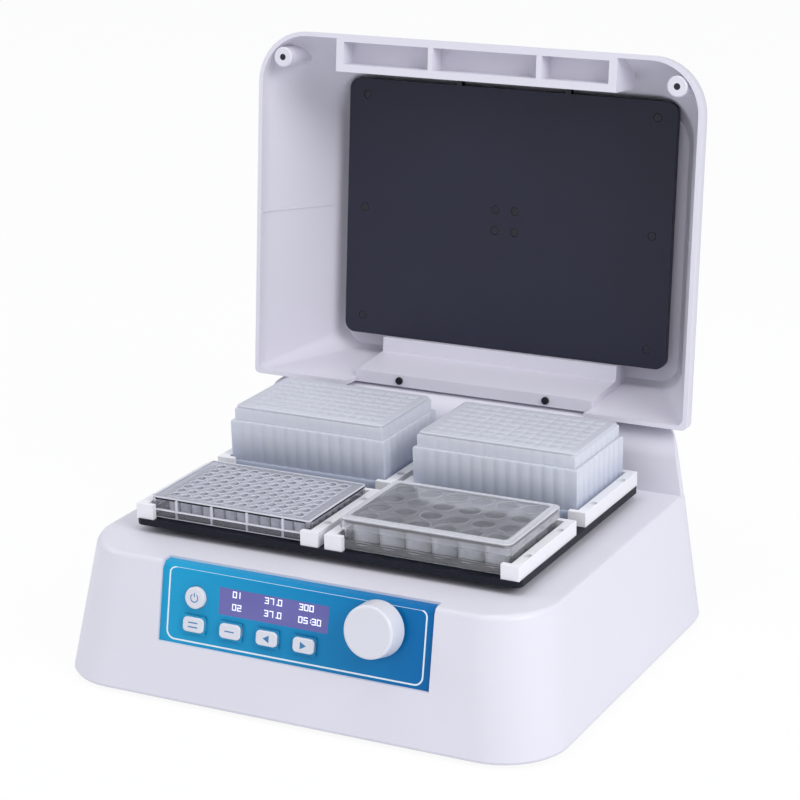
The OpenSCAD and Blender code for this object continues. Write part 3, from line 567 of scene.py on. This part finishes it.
def scalloped(inset, depth, z):
    """Plan outline of a deep-well plate, with a bulge for each well on all four sides."""
    steps = 8
    hx, hy = HALF_L - inset, HALF_W - inset
    pts = []
    for side in range(4):
        half, off, wells = (hx, hy, COLUMNS) if side % 2 == 0 else (hy, hx, ROWS)
        margin = half - wells * WELL_PITCH / 2
        line = [(-half, 0.0), (-half + margin * 0.6, 0.0)]
        for i in range(wells * steps):
            t = (i % steps + 0.5) / steps
            bulge = depth * math.sin(math.pi * t) ** 0.6 - depth
            line.append((-half + margin + (i // steps + t) * WELL_PITCH, bulge))
        line.append((half - margin * 0.6, 0.0))
        for s, d in line:
            x, y = s, -off - d
            for _ in range(side):
                x, y = -y, x
            pts.append((x, y, z))
    return pts


def deep_plate(x, side):
    """Deep-well plate: foot, ribbed body, narrower upper part, and the sealing mat on it."""
    body = "deep_well_" + side
    place = at(x, PLATE_Y, PLATE_Z)
    foot = ((0, 4.0, 0.0), (0, 4.0, 6.0), (0.6, 3.8, 6.9))
    ribbed = ((1.6, 1.1, 6.6), (1.2, 1.1, 35.6), (1.6, 1.0, 36.6))
    upper = ((3.7, 0.5, 36.0), (3.6, 0.5, 44.6), (4.2, 0.3, 45.6))
    m = Mesh()
    m.loft([rounded(HALF_L - g, HALF_W - g, r, z) for g, r, z in foot])
    for profile in (ribbed, upper):
        m.loft([scalloped(g, depth, z) for g, depth, z in profile])
    m.make("deep_well_" + side, (FROST,), body, place, ("deep_" + side,))
    sheet = ((4.3, 3.0, 45.5), (4.2, 3.0, 46.0), (4.2, 3.0, 47.0), (4.8, 2.8, 47.5))
    cell = ((3.9, 1.6, 47.3), (3.9, 1.6, 47.6), (3.5, 1.3, 47.8))
    m = Mesh()
    m.loft([rounded(HALF_L - g, HALF_W - g, r, z) for g, r, z in sheet])
    for i in range(COLUMNS):
        for j in range(ROWS):
            cx = (i - (COLUMNS - 1) / 2) * WELL_PITCH
            cy = (j - (ROWS - 1) / 2) * WELL_PITCH
            m.loft([rounded(h, h, r, z, 2, cx, cy) for h, r, z in cell], False, True)
    m.make("sealing_mat_" + side, (MAT,), body, place, ("mat_" + side,))


plate_96()
plate_24()
plate_24_cover()
deep_plate(-PLATE_X, "left")
deep_plate(PLATE_X, "right")


# control panel
def panel_box(m, u0, u1, v0, v1, w0, w1, r):
    """Block on the panel with corner radius r."""
    u, v = (u0 + u1) / 2, (v0 + v1) / 2
    m.loft([rounded((u1 - u0) / 2, (v1 - v0) / 2, r, w, 3, u, v) for w in (w0, w1)])


def panel_line():
    """The printed white line round the keys, as a thin raised band."""
    w0, w1 = -PANEL_IN + 0.78, -PANEL_IN + 0.92
    hx, hy, r, half = 96.5, 25.6, 6.0, 0.55
    up = 1.6
    outer = [rounded(hx + half, hy + half, r + half, w, 10, 0, up) for w in (w0, w1)]
    inner = [rounded(hx - half, hy - half, r - half, w, 10, 0, up) for w in (w1, w0)]
    m = Mesh()
    m.loft([*outer, *inner, outer[0]], False, False)
    m.make("panel_line", (INK,), "base", panel_point)


# strokes of the display's characters, on a grid 4 wide and 6 high
TOP, MIDDLE, BASE = (0, 6, 4, 6), (0, 3, 4, 3), (0, 0, 4, 0)
LEFT, RIGHT = (0, 0, 0, 6), (4, 0, 4, 6)
STROKES = {
    "0": (LEFT, RIGHT, TOP, BASE),
    "1": ((2, 0, 2, 6),),
    "2": (TOP, (4, 3, 4, 6), MIDDLE, (0, 0, 0, 3), BASE),
    "3": (TOP, RIGHT, (1, 3, 4, 3), BASE),
    "5": (TOP, (0, 3, 0, 6), MIDDLE, (4, 0, 4, 3), BASE),
    "7": (TOP, RIGHT),
    ":": ((2, 1.6, 2, 2.0), (2, 4, 2, 4.4)),
    ".": ((2, 0, 2, 0.4),),
}


def display_digits():
    """Two rows of plain numbers, as a lit character display shows them."""
    w0, w1 = -PANEL_IN + 0.68, -PANEL_IN + 0.76
    cell, half = 0.62, 0.36
    wide, narrow = 3.9, 2.2
    columns = (-47, -22.5, 3.5)
    m = Mesh()
    for v, row in ((11.6, ("01", "37.0", "300")), (3.0, ("02", "37.0", "05:30"))):
        for start, text in zip(columns, row):
            u = start
            for character in text:
                for x0, y0, x1, y1 in STROKES[character]:
                    panel_box(m, u + x0 * cell - half, u + x1 * cell + half,
                              v + y0 * cell - half, v + y1 * cell + half, w0, w1, 0.1)
                u += narrow if character in ":." else wide
    m.make("display_characters", (GLOW,), "base", panel_point)


# key cap: half sizes, corner radius, and its side as inset and height above the wall's plane
CAP_HX, CAP_HY, CAP_R = 8.0, 5.1, 3.1
POWER_R = 7.5
CAP_SIDE = ((0, -5.6), (0, 0.6), (0.25, 1.1), (0.8, KEY_TOP - 0.04), (1.6, KEY_TOP))
CAP_FLANGE = (-7.0, -5.9)


def key_caps():
    """Caps with round corners, each with a flange behind the panel."""
    for name, (u, body) in KEYS.items():
        m = Mesh()
        m.loft([rounded(CAP_HX - g, CAP_HY - g, CAP_R - g, w, 8, u, KEY_V) for g, w in CAP_SIDE])
        m.loft([rounded(CAP_HX + 1.0, CAP_HY + 1.3, 0.5, w, 3, u, KEY_V) for w in CAP_FLANGE])
        m.make("keycap_" + name, (WHITE,), body, panel_point, ("key_" + name,), 50)


def key_surrounds():
    """Raised film around the caps, over the corners of the key windows."""
    gap, top, depth, edge = 0.25, 0.1, 0.5, 0.08
    hole = (CAP_HX + gap, CAP_HY + gap, 3.3)
    outline = (CAP_HX + 1.0, CAP_HY + 1.3, 0.8)
    m = Mesh()
    for u, _ in KEYS.values():
        wall = m.add(rounded(*hole, top - depth, 8, u, KEY_V))
        inner = m.add(rounded(*hole, top, 8, u, KEY_V))
        outer = m.add(rounded(*outline, top, 8, u, KEY_V))
        foot = m.add(rounded(*outline, top - edge, 8, u, KEY_V))
        m.ring_faces(inner, wall)
        m.ring_faces(outer, inner)
        m.ring_faces(foot, outer)
    m.make("key_surrounds", (PANEL,), "base", panel_point)


def power_cap():
    m = Mesh()
    m.loft([circle(POWER_U, POWER_V, POWER_R - g, w, 48) for g, w in CAP_SIDE])
    m.loft([circle(POWER_U, POWER_V, POWER_R + 0.7, w, 48) for w in CAP_FLANGE])
    m.make("keycap_power", (WHITE,), "power_key", panel_point, ("key_round",), 50)


# printed signs on the caps
MARK_0, MARK_1 = KEY_TOP - 0.04, KEY_TOP + 0.06


def arrow_mark(key, name, sign):
    u, body = KEYS[key]
    corners = ((-2.2, 2.6), (-2.2, -2.6), (2.4, 0))
    m = Mesh()
    m.loft([[(u + sign * a, KEY_V + sign * b, w) for a, b in corners] for w in (MARK_0, MARK_1)])
    m.make("key_arrow_" + name, (MARK,), body, panel_point)


def bar_mark(key, heights):
    """Bars across a cap, one at each height."""
    u, body = KEYS[key]
    long, thick = 3.6, 0.4
    m = Mesh()
    for height in heights:
        v = KEY_V + height
        panel_box(m, u - long, u + long, v - thick, v + thick, MARK_0, MARK_1, 0.2)
    m.make("key_mark_" + key, (MARK,), body, panel_point)


def power_mark():
    """An open ring with a bar in its gap."""
    steps = 28
    start, sweep = 125, 290
    outer, inner = 3.1, 2.4
    arc = [math.radians(start + sweep * i / steps) for i in range(steps + 1)]
    m = Mesh()
    sections = []
    for a in arc:
        c, s = math.cos(a), math.sin(a)
        corners = ((outer, MARK_0), (outer, MARK_1), (inner, MARK_1), (inner, MARK_0))
        sections.append([(POWER_U + r * c, POWER_V + r * s, w) for r, w in corners])
    m.loft(sections)
    panel_box(m, POWER_U - 0.35, POWER_U + 0.35, POWER_V + 0.6, POWER_V + 3.6, MARK_0, MARK_1, 0.2)
    m.make("key_mark_power", (MARK,), "power_key", panel_point)


panel_line()
display_digits()
key_caps()
key_surrounds()
power_cap()
arrow_mark("left", "down", -1)
arrow_mark("right", "up", 1)
bar_mark("menu", (1.5, -1.5))
bar_mark("set", (0,))
power_mark()

# inner face of the lid's side wall: nearly upright up to BAND, then leaning inwards
WALL_X, BAND = 171.8, 11.0
BAND_DRAFT = 1 / 12
LEAN = 29.0 / 64.3


def wall_x(up):
    """Half width inside the lid at a height above its rim."""
    return WALL_X - LEAN * (up - BAND) if up > BAND else WALL_X + BAND_DRAFT * (BAND - up)


def wall_rib(side, s):
    """Low rib up the inside of a side wall."""
    section = ((0.6, -5.6), (-0.7, -5.2), (-0.7, -4.4), (0.6, -3.2))
    start, reach, steps = 1, 66, 8
    heights = [start + reach * i / steps for i in range(steps + 1)]
    m = Mesh()
    m.loft([[(s * (wall_x(h) + dx), y, RIM_Z + h) for dx, y in section] for h in heights])
    m.make("wall_rib_" + side, (LINER,), "lid", lid_point, smooth=50)


def corner_bumper(side, s, replaces):
    """Round cap with a screw hole, on the boss in a front corner of the lid."""
    profile = ((1.5, 2.0), (1.5, 0.7), (2.1, 0.1), (6.6, 0.0), (7.5, 0.8), (7.5, 2.0))
    x, y = s * (LID_HALF - 20), LID_FRONT + 20
    m = Mesh()
    m.loft([circle(x, y, r, RIM_Z + h, 32) for r, h in profile], False, False)
    m.make("corner_bumper_" + side, (LINER,), "lid", lid_point, replaces=replaces)


def heater_clip(side, x):
    """Clip on the front edge of the heated plate."""
    half, front, rear = 2.0, -109.4, -104.4
    low, high = RIM_Z + 64.2, RIM_Z + 69.0
    m = Mesh()
    m.loft([rectangle(x - half, x + half, front, rear, z) for z in (low, high)])
    m.make("heater_clip_" + side, (SCREW,), "lid", lid_point)


wall_rib("left", -1)
corner_bumper("left", -1, ("lid_bumpers",))
wall_rib("right", 1)
corner_bumper("right", 1, ())
heater_clip("left", -40.6)
heater_clip("right", 47.9)


# stage, light and camera
def lay_floor():
    """Pale floor that looks white to the camera and keeps the object's shadow."""
    m = bpy.data.materials.new("floor_white")
    m.use_nodes = True
    nt = m.node_tree
    b = nt.nodes["Principled BSDF"]
    b.inputs["Base Color"].default_value = (0.90, 0.90, 0.91, 1)
    b.inputs["Roughness"].default_value = 0.9
    glow = nt.nodes.new("ShaderNodeEmission")
    glow.inputs["Color"].default_value = (1, 1, 1, 1)
    mix = nt.nodes.new("ShaderNodeMixShader")
    ray = nt.nodes.new("ShaderNodeLightPath")
    share = nt.nodes.new("ShaderNodeMath")
    share.operation = "MULTIPLY"
    share.inputs[1].default_value = 0.93
    link(nt, ray.outputs["Is Camera Ray"], share.inputs[0])
    link(nt, share.outputs[0], mix.inputs["Fac"])
    link(nt, b.outputs[0], mix.inputs[1])
    link(nt, glow.outputs[0], mix.inputs[2])
    link(nt, mix.outputs[0], nt.nodes["Material Output"].inputs["Surface"])
    bpy.ops.mesh.primitive_plane_add(size=14, location=(0, 0, 0))
    floor = bpy.context.object
    floor.name = "floor"
    floor.data.materials.append(m)


def light_world():
    """Soft bluish surroundings, plain white where the camera sees them, also through clear plastic."""
    world = bpy.data.worlds.new("studio")
    bpy.context.scene.world = world
    world.use_nodes = True
    nt = world.node_tree
    soft = nt.nodes["Background"]
    soft.inputs["Color"].default_value = (0.92, 0.94, 1.0, 1)
    soft.inputs["Strength"].default_value = 0.62
    white = nt.nodes.new("ShaderNodeBackground")
    white.inputs["Color"].default_value = (1, 1, 1, 1)
    white.inputs["Strength"].default_value = 1.0
    mix = nt.nodes.new("ShaderNodeMixShader")
    ray = nt.nodes.new("ShaderNodeLightPath")
    seen = nt.nodes.new("ShaderNodeMath")
    seen.operation = "MAXIMUM"
    link(nt, ray.outputs["Is Camera Ray"], seen.inputs[0])
    link(nt, ray.outputs["Is Transmission Ray"], seen.inputs[1])
    link(nt, seen.outputs[0], mix.inputs["Fac"])
    link(nt, soft.outputs[0], mix.inputs[1])
    link(nt, white.outputs[0], mix.inputs[2])
    link(nt, mix.outputs[0], nt.nodes["World Output"].inputs["Surface"])


def area(name, place, target, size, power):
    light = bpy.data.lights.new(name, "AREA")
    light.energy = power
    light.shape = "RECTANGLE"
    light.size = size
    light.size_y = size * 0.8
    o = bpy.data.objects.new(name, light)
    bpy.context.scene.collection.objects.link(o)
    o.location = place
    o.rotation_euler = (Vector(target) - Vector(place)).to_track_quat("-Z", "Y").to_euler()


def set_camera():
    """The photograph's own view, solved from the plates, the rails and the base."""
    yaw, pitch, roll = 0.4738, 0.3082, -0.0161
    place = Vector((0.7754, -1.4949 - Y_MID * MM, 0.6107 + SEAT_Z * MM))
    focal_px, photo_px, sensor = 2543.3, 800.0, 36.0
    level_out = math.cos(pitch)
    back = Vector((math.sin(yaw) * level_out, -math.cos(yaw) * level_out, math.sin(pitch)))
    level = Vector((math.cos(yaw), math.sin(yaw), 0))
    upright = back.cross(level)
    right = level * math.cos(roll) + upright * math.sin(roll)
    up = upright * math.cos(roll) - level * math.sin(roll)
    data = bpy.data.cameras.new("camera")
    data.sensor_width = sensor
    data.lens = focal_px / photo_px * sensor
    data.clip_end = 50
    camera = bpy.data.objects.new("camera", data)
    bpy.context.scene.collection.objects.link(camera)
    rows = [(right[i], up[i], back[i], place[i]) for i in range(3)]
    camera.matrix_world = Matrix((*rows, (0, 0, 0, 1)))
    bpy.context.scene.camera = camera


lay_floor()
light_world()
area("key", (2.2, -0.9, 1.6), (0, 0, 0.14), 1.5, 33)
area("fill", (-2.2, -0.7, 1.5), (0.05, 0.1, 0.2), 1.6, 13)
area("top", (0.1, -0.5, 2.4), (0, 0, 0.1), 1.6, 12)
set_camera()
bpy.context.scene.view_settings.view_transform = "Standard"
